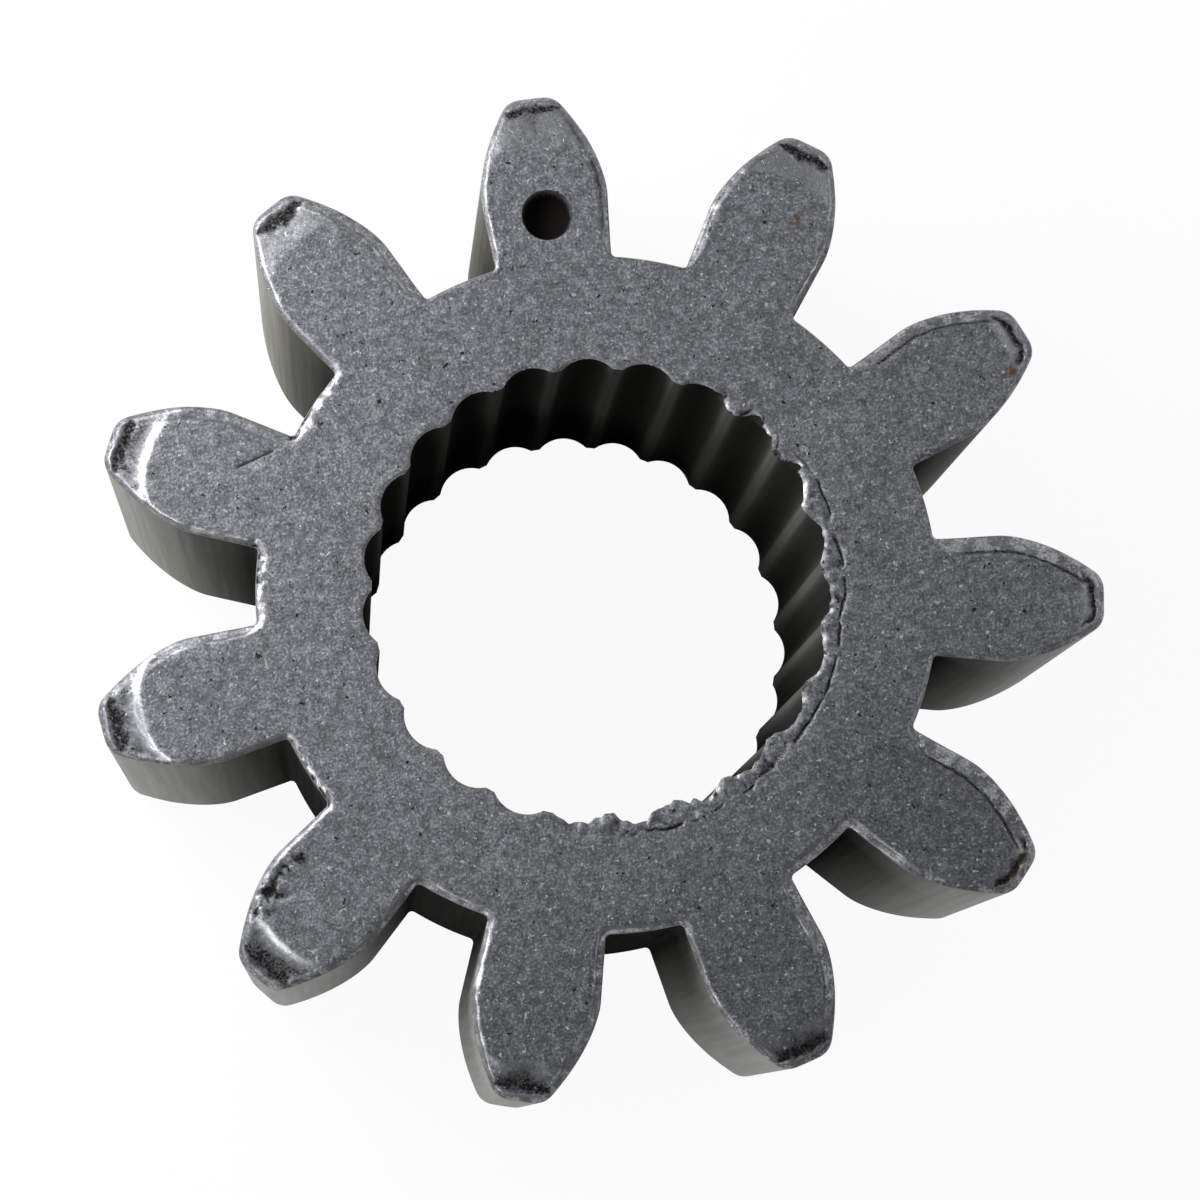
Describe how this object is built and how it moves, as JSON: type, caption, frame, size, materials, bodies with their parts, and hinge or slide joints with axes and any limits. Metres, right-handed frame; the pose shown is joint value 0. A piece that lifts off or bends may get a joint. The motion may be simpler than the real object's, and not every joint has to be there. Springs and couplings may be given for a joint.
{
  "type": "steering pinion gear",
  "caption": "Short spur pinion pressed and sintered in one piece, with rounded teeth, a serrated through bore for a steering shaft and a round timing dot on one tooth.",
  "frame": {"origin": "on the bore axis, in the plane of the plain lower face", "axes": "+Z along the bore axis towards the marked face, +Y through the tooth with the timing dot"},
  "size_m": [0.041, 0.0406, 0.0191],
  "materials": {
    "sintered_steel": "matt, finely grained from powder pressing, smoother on the walls"
  },
  "bodies": {
    "root": {"pinion_gear": "sintered_steel"}
  },
  "joints": []
}
